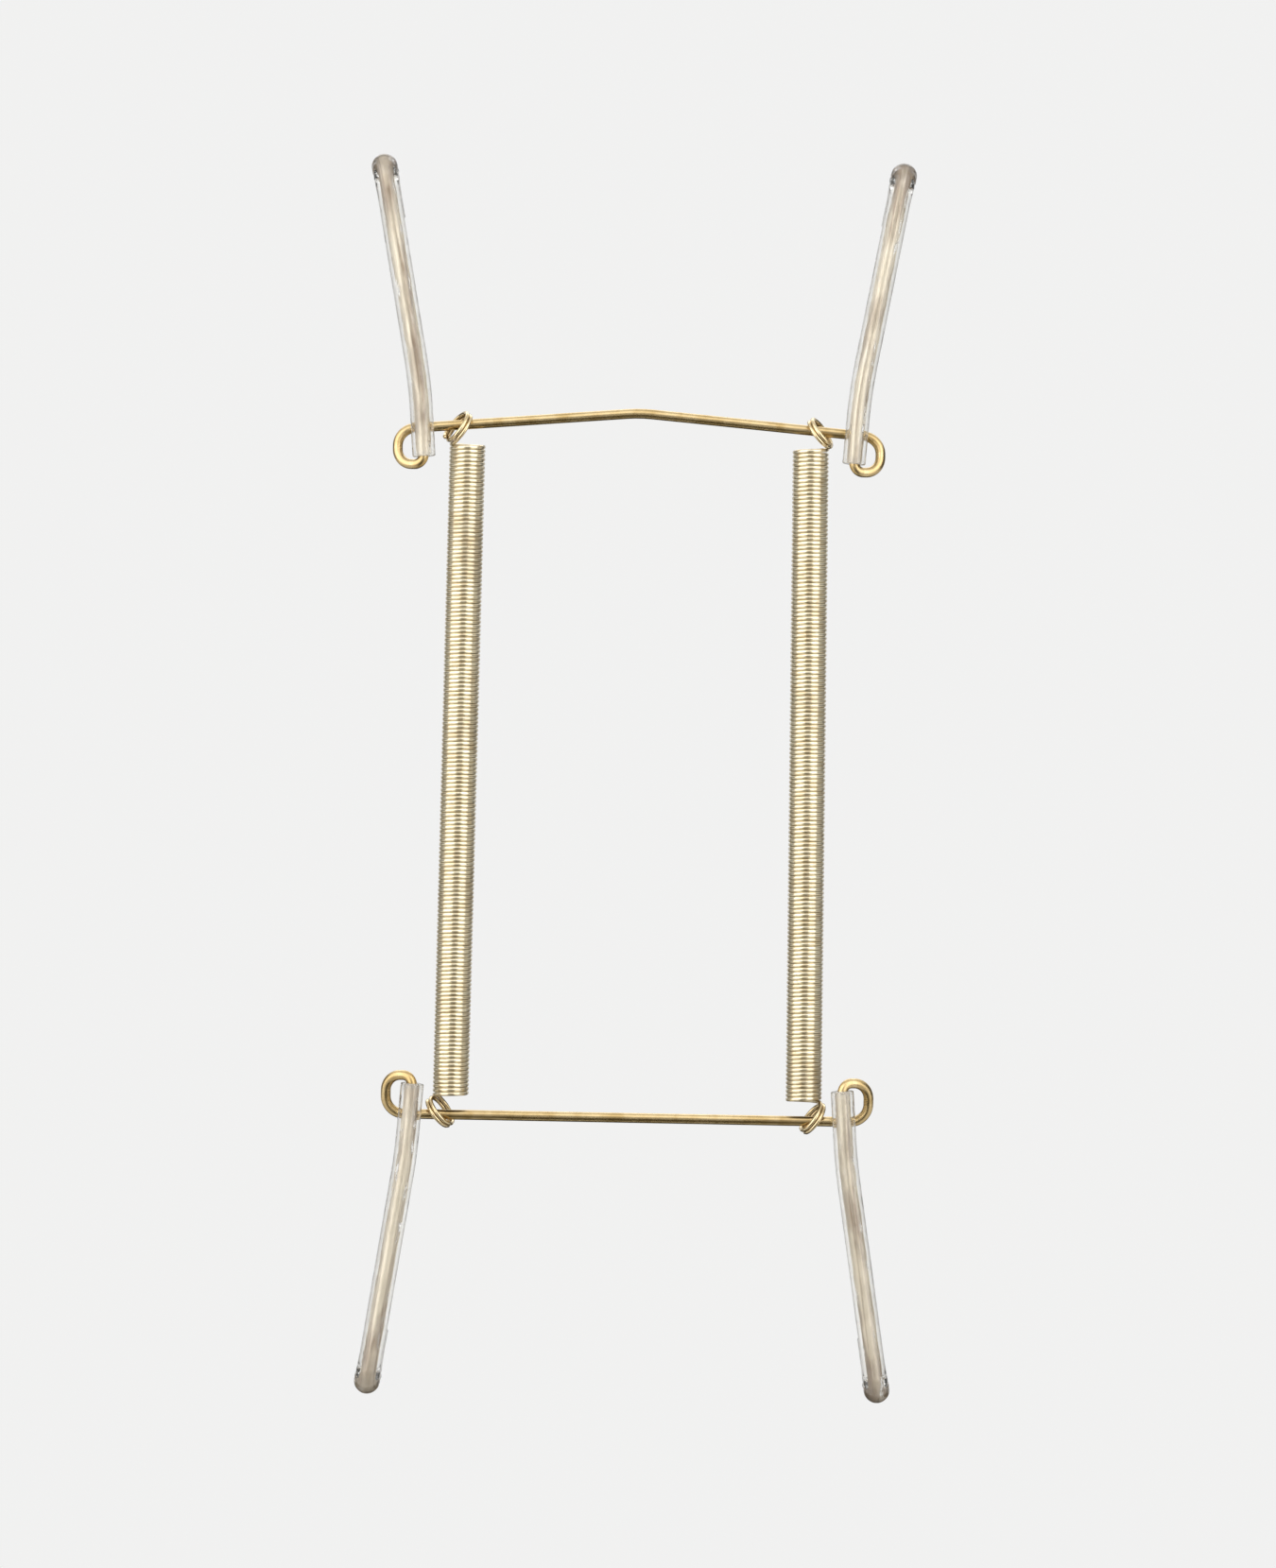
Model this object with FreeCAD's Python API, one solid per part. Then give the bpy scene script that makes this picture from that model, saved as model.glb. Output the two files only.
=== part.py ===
import FreeCAD, Part
import math
import os

Vector = FreeCAD.Vector

# Driving dimensions, in millimetres and degrees.
WIRE_DIAMETER = 1.6
BAR_SLOPE = 4.8
PEAK_RADIUS = 25.0
ARM_SPACING = 68.8
CURL_WIDTH = 4.4
UPPER_CURL_HEIGHT = 5.7
LOWER_CURL_HEIGHT = 6.3
CURL_OUTER_RADIUS = 2.95
CURL_TURN_RADIUS = 2.8
CURL_FOOT_RADIUS = 1.6
ARM_ROOT_SPLAY = 4.3
UPPER_ARM_SPLAY = 10.4
LOWER_ARM_SPLAY = 8.8
ARM_TILT = 3.3
ARM_ROOT_HEIGHT = 12.8
ARM_BEND_RADIUS = 80.0
UPPER_ARM_HEIGHT = 48.1
LOWER_ARM_HEIGHT = 49.6
HOOK_DEPTH = 8.4
HOOK_BEND_RADIUS = 2.4
HOOK_FLARE = 15.0
HOOK_TIP_LENGTH = 8.0
SLEEVE_DIAMETER = 3.7
SLEEVE_BORE = 2.2
SLEEVE_OVERHANG = 0.6
SLEEVE_FOOT = 1.25
ARM_CLEARANCE = 0.2
SPRING_DIAMETER = 5.85
SPRING_WIRE = 0.675
SPRING_TURNS = 156
SPRING_TOP_SPACING = 55.2
SPRING_FOOT_SPACING = 56.8
RING_OPENING = 55.0
RING_PITCH = 0.6
RING_SINK = 0.15
RING_TURN = 20.0
UPPER_RING_SEAT = 0.4
LOWER_RING_SEAT = 0.5

# Sizes that follow from the driving ones.
WIRE_RADIUS = WIRE_DIAMETER / 2.0
SPRING_RADIUS = (SPRING_DIAMETER - SPRING_WIRE) / 2.0
SPRING_LENGTH = SPRING_TURNS * SPRING_WIRE
ARM_OFFSET = SLEEVE_DIAMETER / 2.0 + WIRE_RADIUS + ARM_CLEARANCE
OPENING = math.radians(RING_OPENING)
RING_SHIFT = SPRING_RADIUS * (1.0 - math.cos(OPENING)) + SPRING_WIRE * math.sin(OPENING)
RING_RISE = SPRING_RADIUS * math.sin(OPENING) + SPRING_WIRE * math.cos(OPENING) - RING_SINK
SLOPE = math.tan(math.radians(BAR_SLOPE))
PEAK_ROUNDING = PEAK_RADIUS * (1.0 / math.cos(math.radians(BAR_SLOPE)) - 1.0)
# The underside of the peak rests on the nail at the origin.
PEAK_HEIGHT = WIRE_RADIUS + PEAK_ROUNDING
# Each ring hangs from its bar, or carries it, with the bar past the middle towards the free end.
RING_X = SPRING_TOP_SPACING / 2.0 + RING_SHIFT * math.cos(math.radians(RING_TURN))
UPPER_BAR_AT_RING = PEAK_HEIGHT - SLOPE * RING_X
COIL_TOP = UPPER_BAR_AT_RING - UPPER_RING_SEAT - RING_RISE
LEAN = math.asin((SPRING_FOOT_SPACING - SPRING_TOP_SPACING) / 2.0 / SPRING_LENGTH)
COIL_FOOT = COIL_TOP - SPRING_LENGTH * math.cos(LEAN)
LOWER_BAR_HEIGHT = COIL_FOOT - RING_RISE - LOWER_RING_SEAT


def bend(before, corner, after, radius):
    """Tangent arc that rounds one corner of a route: its start, middle and end."""
    inward = (before - corner).normalize()
    onward = (after - corner).normalize()
    half = inward.getAngle(onward) / 2.0
    middle_line = (inward + onward).normalize()
    reach = radius / math.tan(half)
    start = corner + inward * reach
    middle = corner + middle_line * (radius / math.sin(half) - radius)
    end = corner + onward * reach
    return start, middle, end


def route(corners, radii):
    """Wire of straight runs through the corners, each inner corner rounded to its radius."""
    edges = []
    here = corners[0]
    for index, radius in enumerate(radii):
        start, middle, end = bend(corners[index], corners[index + 1], corners[index + 2], radius)
        if (start - here).Length > 0.001:
            edges.append(Part.LineSegment(here, start).toShape())
        edges.append(Part.Arc(start, middle, end).toShape())
        here = end
    edges.append(Part.LineSegment(here, corners[-1]).toShape())
    return Part.Wire(edges)


def round_bar(corners, radii, diameter):
    """Solid round bar carried along a rounded route."""
    outline = Part.makeCircle(diameter / 2.0, corners[0], corners[1] - corners[0])
    section = Part.Face(Part.Wire(outline))
    return route(corners, radii).makePipe(section)


def arm_corners(side, up, bar_height, curl_height, splay, height):
    """Corners from the outer end of a bar round its curl, along the arm and round the hook."""
    tilt = math.tan(math.radians(ARM_TILT))
    foot_x = ARM_SPACING / 2.0
    foot_y = -ARM_OFFSET - curl_height * tilt
    foot_z = bar_height - up * curl_height
    outer = Vector(side * (foot_x + CURL_WIDTH), 0, bar_height)
    turn = Vector(side * (foot_x + CURL_WIDTH), foot_y * 0.4, foot_z)
    foot = Vector(side * foot_x, foot_y, foot_z)
    root_x = foot_x + ARM_ROOT_HEIGHT * math.tan(math.radians(ARM_ROOT_SPLAY))
    root = Vector(side * root_x, foot_y + ARM_ROOT_HEIGHT * tilt, foot_z + up * ARM_ROOT_HEIGHT)
    top_x = root_x + (height - ARM_ROOT_HEIGHT) * math.tan(math.radians(splay))
    top = Vector(side * top_x, foot_y + height * tilt, foot_z + up * height)
    back = top + Vector(0, HOOK_DEPTH, 0)
    flare = math.radians(HOOK_FLARE)
    along = (root - top).normalize()
    tip = back + (along * math.cos(flare) + Vector(0, math.sin(flare), 0)) * HOOK_TIP_LENGTH
    return [outer, turn, foot, root, top, back, tip]


CURL_RADII = [CURL_OUTER_RADIUS, CURL_TURN_RADIUS, CURL_FOOT_RADIUS]
ARM_RADII = [ARM_BEND_RADIUS, HOOK_BEND_RADIUS, HOOK_BEND_RADIUS]


def frame_wire(left, right, peak):
    """One bent wire: hook, arm, curl, bar, curl, arm and hook, with a peak in the bar if there is one."""
    ends = CURL_RADII + ARM_RADII
    inner = [PEAK_RADIUS] if peak else []
    corners = left[::-1] + peak + right
    return round_bar(corners, ends[::-1] + inner + ends, WIRE_DIAMETER)


def sleeve(corners):
    """Clear tube over one arm and hook, with a bore a little wider than the wire."""
    foot, root, top, back, tip = corners[2:]
    start = foot + (root - foot).normalize() * SLEEVE_FOOT
    end = tip + (tip - back).normalize() * SLEEVE_OVERHANG
    run = [start, root, top, back, end]
    past = [start - (root - start).normalize(), root, top, back, end + (tip - back).normalize()]
    tube = round_bar(run, ARM_RADII, SLEEVE_DIAMETER)
    return tube.cut(round_bar(past, ARM_RADII, SLEEVE_BORE))


def ring(side, up):
    """Doubled end ring, bent up from the outer side of the coil like an opened lid."""
    size = SPRING_WIRE / 2.0
    turn = [math.radians(22.5 + 45.0 * step) for step in range(8)]
    section = []
    for middle in (RING_PITCH / 2.0, -RING_PITCH / 2.0):
        spots = [Vector(SPRING_RADIUS + size * math.cos(a), 0, middle + size * math.sin(a)) for a in turn]
        section.append(Part.Face(Part.makePolygon(spots + spots[:1])))
    pair = section[0].fuse(section[1]).removeSplitter().Faces[0]
    pair = pair.revolve(Vector(0, 0, 0), Vector(0, 0, 1), 360)
    end = 0.0 if up > 0 else -SPRING_LENGTH
    opened = FreeCAD.Rotation(Vector(0, 1, 0), side * up * RING_OPENING)
    lid = FreeCAD.Placement(Vector(side * RING_SHIFT, 0, end + up * RING_RISE), opened)
    about = FreeCAD.Rotation(Vector(0, 0, 1), -side * up * RING_TURN)
    pair.Placement = FreeCAD.Placement(Vector(0, 0, 0), about).multiply(lid)
    return pair


def spring(side):
    """Close-wound spring: its coil as a tube of the true wall, with a doubled ring at each end."""
    floor = Vector(0, 0, -SPRING_LENGTH)
    coil = Part.makeCylinder(SPRING_RADIUS + SPRING_WIRE / 2.0, SPRING_LENGTH, floor)
    coil = coil.cut(Part.makeCylinder(SPRING_RADIUS - SPRING_WIRE / 2.0, SPRING_LENGTH, floor))
    coil = coil.fuse(ring(side, 1)).fuse(ring(side, -1))
    leaning = FreeCAD.Rotation(Vector(0, 1, 0), -side * math.degrees(LEAN))
    coil.Placement = FreeCAD.Placement(Vector(side * SPRING_TOP_SPACING / 2.0, 0, COIL_TOP), leaning)
    return coil


def main():
    """Build every piece in place and write it to its own file."""
    curl_reach = ARM_SPACING / 2.0 + CURL_WIDTH
    bar_end = PEAK_HEIGHT - SLOPE * curl_reach
    arms = {}
    for name, side in (("left", -1), ("right", 1)):
        arms["upper_" + name] = arm_corners(
            side, 1, bar_end, UPPER_CURL_HEIGHT, UPPER_ARM_SPLAY, UPPER_ARM_HEIGHT)
        arms["lower_" + name] = arm_corners(
            side, -1, LOWER_BAR_HEIGHT, LOWER_CURL_HEIGHT, LOWER_ARM_SPLAY, LOWER_ARM_HEIGHT)
    pieces = {}
    peak = [Vector(0, 0, PEAK_HEIGHT)]
    pieces["upper_wire"] = frame_wire(arms["upper_left"], arms["upper_right"], peak)
    pieces["lower_wire"] = frame_wire(arms["lower_left"], arms["lower_right"], [])
    pieces["left_spring"] = spring(-1)
    pieces["right_spring"] = spring(1)
    for name, corners in arms.items():
        pieces[name + "_sleeve"] = sleeve(corners)
    os.makedirs("parts", exist_ok=True)
    for name, shape in pieces.items():
        solid = shape.Solids[0]
        print(name, len(shape.Solids), "solid, valid", solid.isValid(), "volume", round(solid.Volume, 1))
        solid.exportStep("parts/" + name + ".step")


main()
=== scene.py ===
"""Dresses a packed wire plate hanger: bent wires, clear sleeves, wound springs and a plain studio."""
import logging
import math
from dataclasses import dataclass, field
from enum import Enum
from typing import Any, Union

import bpy
import numpy as np
from mathutils import Matrix, Vector


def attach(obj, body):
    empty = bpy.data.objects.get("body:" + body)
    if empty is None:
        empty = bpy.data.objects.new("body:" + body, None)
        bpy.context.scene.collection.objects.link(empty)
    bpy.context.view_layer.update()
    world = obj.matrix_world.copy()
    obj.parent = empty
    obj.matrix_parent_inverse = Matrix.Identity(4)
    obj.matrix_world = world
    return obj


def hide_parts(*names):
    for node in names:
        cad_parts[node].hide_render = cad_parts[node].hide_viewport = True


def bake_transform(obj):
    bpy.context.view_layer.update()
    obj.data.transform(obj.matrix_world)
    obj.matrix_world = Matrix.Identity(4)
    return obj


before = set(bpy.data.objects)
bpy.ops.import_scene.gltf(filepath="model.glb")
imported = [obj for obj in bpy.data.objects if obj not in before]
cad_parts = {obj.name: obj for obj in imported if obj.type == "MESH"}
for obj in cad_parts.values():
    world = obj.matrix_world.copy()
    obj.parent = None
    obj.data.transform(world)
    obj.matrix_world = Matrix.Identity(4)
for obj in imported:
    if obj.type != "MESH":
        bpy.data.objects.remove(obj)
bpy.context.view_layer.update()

LOG = logging.getLogger("plate_hanger")
MM = 0.001
FULL_TURN = 2.0 * math.pi
# Shares of a broken edge's length at which its three stations stand.
EDGE_STEPS = (0.0, 0.35, 1.0)
# Stations of the broken edges at both ends that are drawn in.
EDGE_STATIONS = [0, 1, -2, -1]
# Sockets of a Mix node that blends colours: share and two colours in, one colour out.
MIX_SHARE, MIX_FIRST, MIX_SECOND, MIX_OUT = 0, 6, 7, 2

Colour = tuple[float, float, float]
Factors = tuple[float, float, float]
Span = tuple[float, float]


class Side(Enum):
    """Half of the hanger that a piece belongs to, as the sign of its X."""

    LEFT = -1
    RIGHT = 1


class Tier(Enum):
    """Upper or lower frame, as the way that its arms point along Z."""

    UPPER = 1
    LOWER = -1


class Slot(Enum):
    """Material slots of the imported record."""

    FRAME_WIRE = "frame_wire"
    SPRING_WIRE = "spring_wire"
    CLEAR_TUBE = "clear_tube"


class Body(Enum):
    """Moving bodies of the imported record."""

    UPPER_FRAME = "upper_frame"
    SPRING_HEADS = "spring_heads"
    SPRING_FEET = "spring_feet"
    LOWER_FRAME = "lower_frame"


class TubeFace(Enum):
    """Faces of a sleeve's wall, as the number of the material slot that each one wears."""

    OUTER = 0
    BORE = 1


class Signal:
    """A value socket that adds a Math node for each operator used on it."""

    def __init__(self, bench: "NodeBench", socket: Union[bpy.types.NodeSocket, None]) -> None:
        """Keep the socket and the bench whose tree it belongs to."""
        self.bench = bench
        self.socket = socket

    def _math(self, operation: str, first: Any, second: Any) -> "Signal":
        """Add one Math node that joins two values."""
        return self.bench.node("ShaderNodeMath", {"operation": operation}, {0: first, 1: second})

    def __add__(self, other: "Value") -> "Signal":
        """Sum of this value and another."""
        return self._math("ADD", self, other)

    def __radd__(self, other: "Value") -> "Signal":
        """Sum of another value and this one."""
        return self._math("ADD", other, self)

    def __sub__(self, other: "Value") -> "Signal":
        """This value less another."""
        return self._math("SUBTRACT", self, other)

    def __rsub__(self, other: "Value") -> "Signal":
        """Another value less this one."""
        return self._math("SUBTRACT", other, self)

    def __mul__(self, other: "Value") -> "Signal":
        """Product of this value and another."""
        return self._math("MULTIPLY", self, other)

    def rise(self, low: float, high: float) -> "Signal":
        """Smooth step of this value from 0 at low to 1 at high.

        Args:
            low: Value below which the step is 0.
            high: Value above which the step is 1.

        Returns:
            The stepped value.
        """
        settings = {"interpolation_type": "SMOOTHSTEP"}
        return self.bench.node("ShaderNodeMapRange", settings, {0: self, 1: low, 2: high})


Value = Union[Signal, float]
Paint = Union[Signal, Colour]


class NodeBench:
    """Lays out the nodes of one material or world."""

    def __init__(self, tree: bpy.types.NodeTree) -> None:
        """Start from an empty node tree."""
        self.tree = tree
        tree.nodes.clear()

    def node(self, kind: str, settings: dict[str, Any], sockets: dict[Any, Any],
             out: Union[int, str] = 0) -> Signal:
        """Add any node, set its settings first, then fill or link its sockets.

        Args:
            kind: Blender's type name of the node.
            settings: Attributes of the node.
            sockets: Values or signals by the name or number of the input socket.
            out: Name or number of the output socket that is handed back.

        Returns:
            A signal on the chosen output socket.
        """
        made = self.tree.nodes.new(kind)
        for key, value in settings.items():
            setattr(made, key, value)
        for key, value in sockets.items():
            if isinstance(value, Signal):
                self.tree.links.new(value.socket, made.inputs[key])
            elif isinstance(value, tuple) and made.inputs[key].type == "RGBA":
                made.inputs[key].default_value = (*value, 1.0)
            else:
                made.inputs[key].default_value = value
        return Signal(self, made.outputs[out] if len(made.outputs) else None)

    def mix(self, share: Value, first: Paint, second: Paint) -> Signal:
        """Blend two colours by a share, 0 for the first and 1 for the second."""
        sockets = {MIX_SHARE: share, MIX_FIRST: first, MIX_SECOND: second}
        return self.node("ShaderNodeMix", {"data_type": "RGBA"}, sockets, MIX_OUT)

    def stretch(self, vector: Signal, factors: Factors) -> Signal:
        """Scale a vector by one factor for each axis."""
        return self.node("ShaderNodeVectorMath", {"operation": "MULTIPLY"}, {0: vector, 1: factors})

    def noise(self, vector: Signal, scale: float, detail: float) -> Signal:
        """Soft noise from 0 to 1 over a vector, with finer octaves by its detail."""
        return self.node("ShaderNodeTexNoise", {}, {"Vector": vector, "Scale": scale, "Detail": detail})

    def mark(self, name: str, out: str) -> Signal:
        """Read an attribute that the mesh carries."""
        return self.node("ShaderNodeAttribute", {"attribute_name": name}, {}, out)

    def place(self) -> Signal:
        """Read the object's own coordinates, in metres."""
        return self.node("ShaderNodeTexCoord", {}, {}, "Object")

    def bump(self, height: Signal, strength: float, depth: float) -> Signal:
        """Turn a height into a bumped normal."""
        sockets = {"Strength": strength, "Distance": depth, "Height": height}
        return self.node("ShaderNodeBump", {}, sockets)

    def seen_share(self) -> Signal:
        """Share of 1 for a ray from the camera, from gloss or through a clear piece, and 0 for any other.

        Returns:
            The share, clamped to 1.
        """
        seen = self.node("ShaderNodeLightPath", {}, {}, "Is Camera Ray")
        gloss = self.node("ShaderNodeLightPath", {}, {}, "Is Glossy Ray")
        through = self.node("ShaderNodeLightPath", {}, {}, "Is Transmission Ray")
        settings = {"operation": "ADD", "use_clamp": True}
        return self.node("ShaderNodeMath", settings, {0: seen + gloss, 1: through})


@dataclass(frozen=True)
class Grain:
    """One soft noise, stretched by its factors and stepped over its span where it has them."""

    scale: float
    detail: float
    span: Union[Span, None] = None
    factors: Union[Factors, None] = None

    def read(self, bench: NodeBench, vector: Signal) -> Signal:
        """Lay out the noise over a vector.

        Args:
            bench: Bench whose tree gets the nodes.
            vector: Place on the surface.

        Returns:
            The noise, from 0 to 1.
        """
        spot = bench.stretch(vector, self.factors) if self.factors else vector
        noise = bench.noise(spot, self.scale, self.detail)
        return noise.rise(*self.span) if self.span else noise


def new_material(name: str) -> tuple[bpy.types.Material, NodeBench]:
    """Make an empty node material.

    Args:
        name: Name of the material.

    Returns:
        The material and the bench that lays out its nodes.
    """
    material = bpy.data.materials.new(name)
    material.use_nodes = True
    return material, NodeBench(material.node_tree)


def add_object(name: str, data: bpy.types.ID) -> bpy.types.Object:
    """Make an object and put it into the scene.

    Args:
        name: Name of the object.
        data: Mesh, lamp or camera that the object shows.

    Returns:
        The object, at the origin.
    """
    made = bpy.data.objects.new(name, data)
    bpy.context.scene.collection.objects.link(made)
    return made


def bell(distance: np.ndarray, reach: float) -> np.ndarray:
    """Bell curve: e to the power of minus the square of distance over reach."""
    return np.exp(-((distance / reach) ** 2))


def smooth_step(share: np.ndarray) -> np.ndarray:
    """Smooth step of a share from 0 to 1: three times its square less twice its cube."""
    held = np.clip(share, 0.0, 1.0)
    return held * held * (3.0 - 2.0 * held)


@dataclass(frozen=True)
class PlatedBrass:
    """Brass-coloured plating on drawn wire, with draw lines, clouded tone and a few tarnish spots.

    A share says how far a mark or noise turns the tone, and a rough how much it adds to the
    roughness. Noises over the straightened wire are in millimetres, and patches in metres.
    """

    name: str
    light: Colour
    deep: Colour
    stain: Colour
    roughness: float
    line_depth: float
    patch_scale: float
    patch_share: float
    spread: float = 0.0
    spread_turn: float = 0.25
    # Deeper tone painted on the opened end rings as shade.
    ring_shade: Colour = (0.66, 0.50, 0.26)
    clung: Colour = (0.86, 0.79, 0.67)
    # Dull tone of streaks under a sleeve, and also the colour of the painted shade round the hook.
    dulled_and_shaded: Colour = (0.36, 0.275, 0.205)
    lines: Grain = Grain(scale=1.0, detail=3.0, factors=(6.0, 6.0, 0.22))
    cloud: Grain = Grain(scale=0.35, detail=4.0, span=(0.36, 0.68))
    speck: Grain = Grain(scale=2.4, detail=2.0, span=(0.64, 0.74))
    streak: Grain = Grain(scale=1.0, detail=5.0, span=(0.42, 0.66), factors=(0.62, 0.62, 0.12))
    thread: Grain = Grain(scale=1.0, detail=2.0, span=(0.52, 0.62), factors=(1.9, 1.9, 0.035))
    patch_detail: float = 3.0
    patch_span: Span = (0.52, 0.72)
    bend_share: float = 0.35
    # Share of the painted shade on the opened end rings.
    ring_shade_share: float = 0.7
    speck_share: float = 0.4
    streak_share: float = 0.6
    thread_share: float = 0.5
    # Share of the painted shade round the hook.
    hook_shade_share: float = 0.55
    line_rough: float = 0.10
    bend_rough: float = 0.05
    patch_rough: float = 0.4
    speck_rough: float = 0.08
    under_rough: float = 0.12
    ring_polish: float = 0.13
    under_film: float = 0.35
    line_strength: float = 0.35

    def material(self) -> bpy.types.Material:
        """Lay out the plating's nodes.

        Draw lines are noise stretched along the straightened wire. Tone drifts from light to deep
        with a slow noise, deepens where the wire was bent, and turns to stain in small spots and in
        wider patches. Under a clinging sleeve it pales and dulls in long streaks, and round the hook
        it darkens with painted shade.
        The spread, from 0 to 1, scatters light across a wound wire more than along it. Opened end
        rings are darker with painted shade, and brighter in polish.

        Returns:
            The finished material.
        """
        material, bench = new_material(self.name)
        skin = bench.mark("skin", "Vector")
        bend = bench.mark("bend", "Fac")
        ring = bench.mark("ring", "Fac")
        under = bench.mark("under", "Fac")
        hook = bench.mark("hook", "Fac")
        lines = self.lines.read(bench, skin)
        speck = self.speck.read(bench, skin)
        patch = Grain(self.patch_scale, self.patch_detail, self.patch_span).read(bench, bench.place())
        tone = bench.mix(self.cloud.read(bench, skin), self.light, self.deep)
        tone = bench.mix(bend * self.bend_share, tone, self.deep)
        # Painted shade: the opened end rings turn towards a deeper tone.
        tone = bench.mix(ring * self.ring_shade_share, tone, self.ring_shade)
        tone = bench.mix(patch * self.patch_share + speck * self.speck_share, tone, self.stain)
        streak_and_hook_shade = self.streak.read(bench, skin) * self.streak_share
        # Painted shade round the hook joins the real dull streaks.
        streak_and_hook_shade = streak_and_hook_shade + self.thread.read(bench, skin) * self.thread_share + hook * self.hook_shade_share
        tone = bench.mix(under, tone, bench.mix(streak_and_hook_shade, self.clung, self.dulled_and_shaded))
        rough = self.roughness + lines * self.line_rough + bend * self.bend_rough
        rough = rough + patch * (self.patch_share * self.patch_rough) + speck * self.speck_rough
        rough = rough + under * self.under_rough - ring * self.ring_polish
        shader = bench.node("ShaderNodeBsdfPrincipled", {}, {
            "Base Color": tone,
            "Metallic": 1.0 - under * self.under_film,
            "Roughness": rough,
            "Anisotropic": self.spread,
            "Anisotropic Rotation": self.spread_turn,
            "Normal": bench.bump(lines, self.line_strength, self.line_depth),
        })
        bench.node("ShaderNodeOutputMaterial", {}, {"Surface": shader})
        return material


@dataclass(frozen=True)
class ClearVinyl:
    """Clear soft tube that clings to its wire, faintly hazed, with ripples and frosted cut ends."""

    name: str
    clear: Colour
    tinted: Colour
    # Tint at the wall's edges: partly a longer path through the wall, partly painted dark edge lines.
    rim_tint_and_shade: Colour
    milk: Colour
    roughness: float
    haze: float
    passed: Colour = (0.97, 0.96, 0.93)
    refraction: float = 1.52
    coat_roughness: float = 0.30
    ripple: Grain = Grain(scale=1.0, detail=2.0, factors=(1.6, 1.6, 0.30))
    cloud: Grain = Grain(scale=0.30, detail=3.0, span=(0.40, 0.70))
    scuff: Grain = Grain(scale=1.5, detail=4.0, span=(0.60, 0.75), factors=(2.0, 2.0, 0.8))
    cling: Grain = Grain(scale=1.0, detail=4.0, span=(0.30, 0.44), factors=(0.9, 0.9, 0.28))
    ripple_strength: float = 0.5
    ripple_depth: float = 0.00010
    edge_blend: float = 0.35
    edge_span: Span = (0.18, 0.64)
    cloud_tint: float = 0.6
    cloud_rough: float = 0.05
    cloud_haze: float = 0.06
    scuff_tint: float = 0.5
    scuff_rough: float = 0.10
    scuff_haze: float = 0.05
    cut_haze: float = 0.25

    def material(self, face: TubeFace) -> bpy.types.Material:
        """Lay out the nodes of one face of the tube's wall.

        Light passes the wall with a slight tint that deepens where the wall is seen edge on, partly
        for the longer path through the wall and partly as painted dark edge lines. On the outside a
        share of it meets a milky coat instead, more in slow clouds and near the cut ends, and ripples
        along the tube bump it. In the bore, patches that cling to the wire let light straight through,
        and the rest mirrors like the film of air that it is.

        Args:
            face: Outside or bore of the tube.

        Returns:
            The finished material.
        """
        material, bench = new_material(f"{self.name}_{face.name.lower()}")
        skin = bench.mark("skin", "Vector")
        cloud = self.cloud.read(bench, skin)
        scuff = self.scuff.read(bench, skin)
        bumped = bench.bump(self.ripple.read(bench, skin), self.ripple_strength, self.ripple_depth)
        # Facing weight darkens the wall towards its edges: partly a longer path through it, partly painted
        # dark edge lines.
        edge = bench.node("ShaderNodeLayerWeight", {}, {"Blend": self.edge_blend}, "Facing")
        tint = bench.mix(cloud * self.cloud_tint, self.clear, self.tinted)
        wall = bench.node("ShaderNodeBsdfPrincipled", {}, {
            "Base Color": bench.mix(edge.rise(*self.edge_span), tint, self.rim_tint_and_shade),
            "Roughness": self.roughness + cloud * self.cloud_rough + scuff * self.scuff_rough,
            "IOR": self.refraction,
            "Transmission Weight": 1.0,
            "Normal": bumped,
        })
        if face is TubeFace.BORE:
            share = self.cling.read(bench, skin)
            other = bench.node("ShaderNodeBsdfTransparent", {}, {"Color": self.passed})
        else:
            share = self.haze + cloud * self.cloud_haze + scuff * self.scuff_haze
            share = share + bench.mark("cut", "Fac") * self.cut_haze
            other = bench.node("ShaderNodeBsdfPrincipled", {}, {
                "Base Color": bench.mix(scuff * self.scuff_tint, self.milk, self.tinted),
                "Roughness": self.coat_roughness,
                "IOR": self.refraction,
                "Normal": bumped,
            })
        shader = bench.node("ShaderNodeMixShader", {}, {0: share, 1: wall, 2: other})
        bench.node("ShaderNodeOutputMaterial", {}, {"Surface": shader})
        return material


@dataclass(frozen=True)
class PaleFloor:
    """Matt pale floor that keeps a shadow near its middle and runs out to the plain surroundings."""

    name: str
    paint: Colour
    worn: Colour
    far: Colour
    fade_span: Span
    lift: float
    roughness: float = 0.75
    grain: Grain = Grain(scale=40.0, detail=4.0)
    worn_span: Span = (0.35, 0.70)
    grain_rough: float = 0.15
    grain_strength: float = 0.05
    grain_depth: float = 0.0005

    def material(self) -> bpy.types.Material:
        """Lay out the floor's nodes.

        The share of the surroundings' tone rises from the lift to 1 by a smooth step of the distance
        from the middle, and counts only for rays from the camera, from gloss and through clear pieces.

        Returns:
            The finished material.
        """
        material, bench = new_material(self.name)
        spot = bench.place()
        grain = self.grain.read(bench, spot)
        matt = bench.node("ShaderNodeBsdfPrincipled", {}, {
            "Base Color": bench.mix(grain.rise(*self.worn_span), self.paint, self.worn),
            "Roughness": self.roughness + grain * self.grain_rough,
            "Normal": bench.bump(grain, self.grain_strength, self.grain_depth),
        })
        plain = bench.node("ShaderNodeEmission", {}, {"Color": self.far, "Strength": 1.0})
        reach = bench.node("ShaderNodeVectorMath", {"operation": "LENGTH"}, {0: spot}, "Value")
        share = self.lift + reach.rise(*self.fade_span) * (1.0 - self.lift)
        share = share * bench.seen_share()
        shader = bench.node("ShaderNodeMixShader", {}, {0: share, 1: matt, 2: plain})
        bench.node("ShaderNodeOutputMaterial", {}, {"Surface": shader})
        return material


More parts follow.
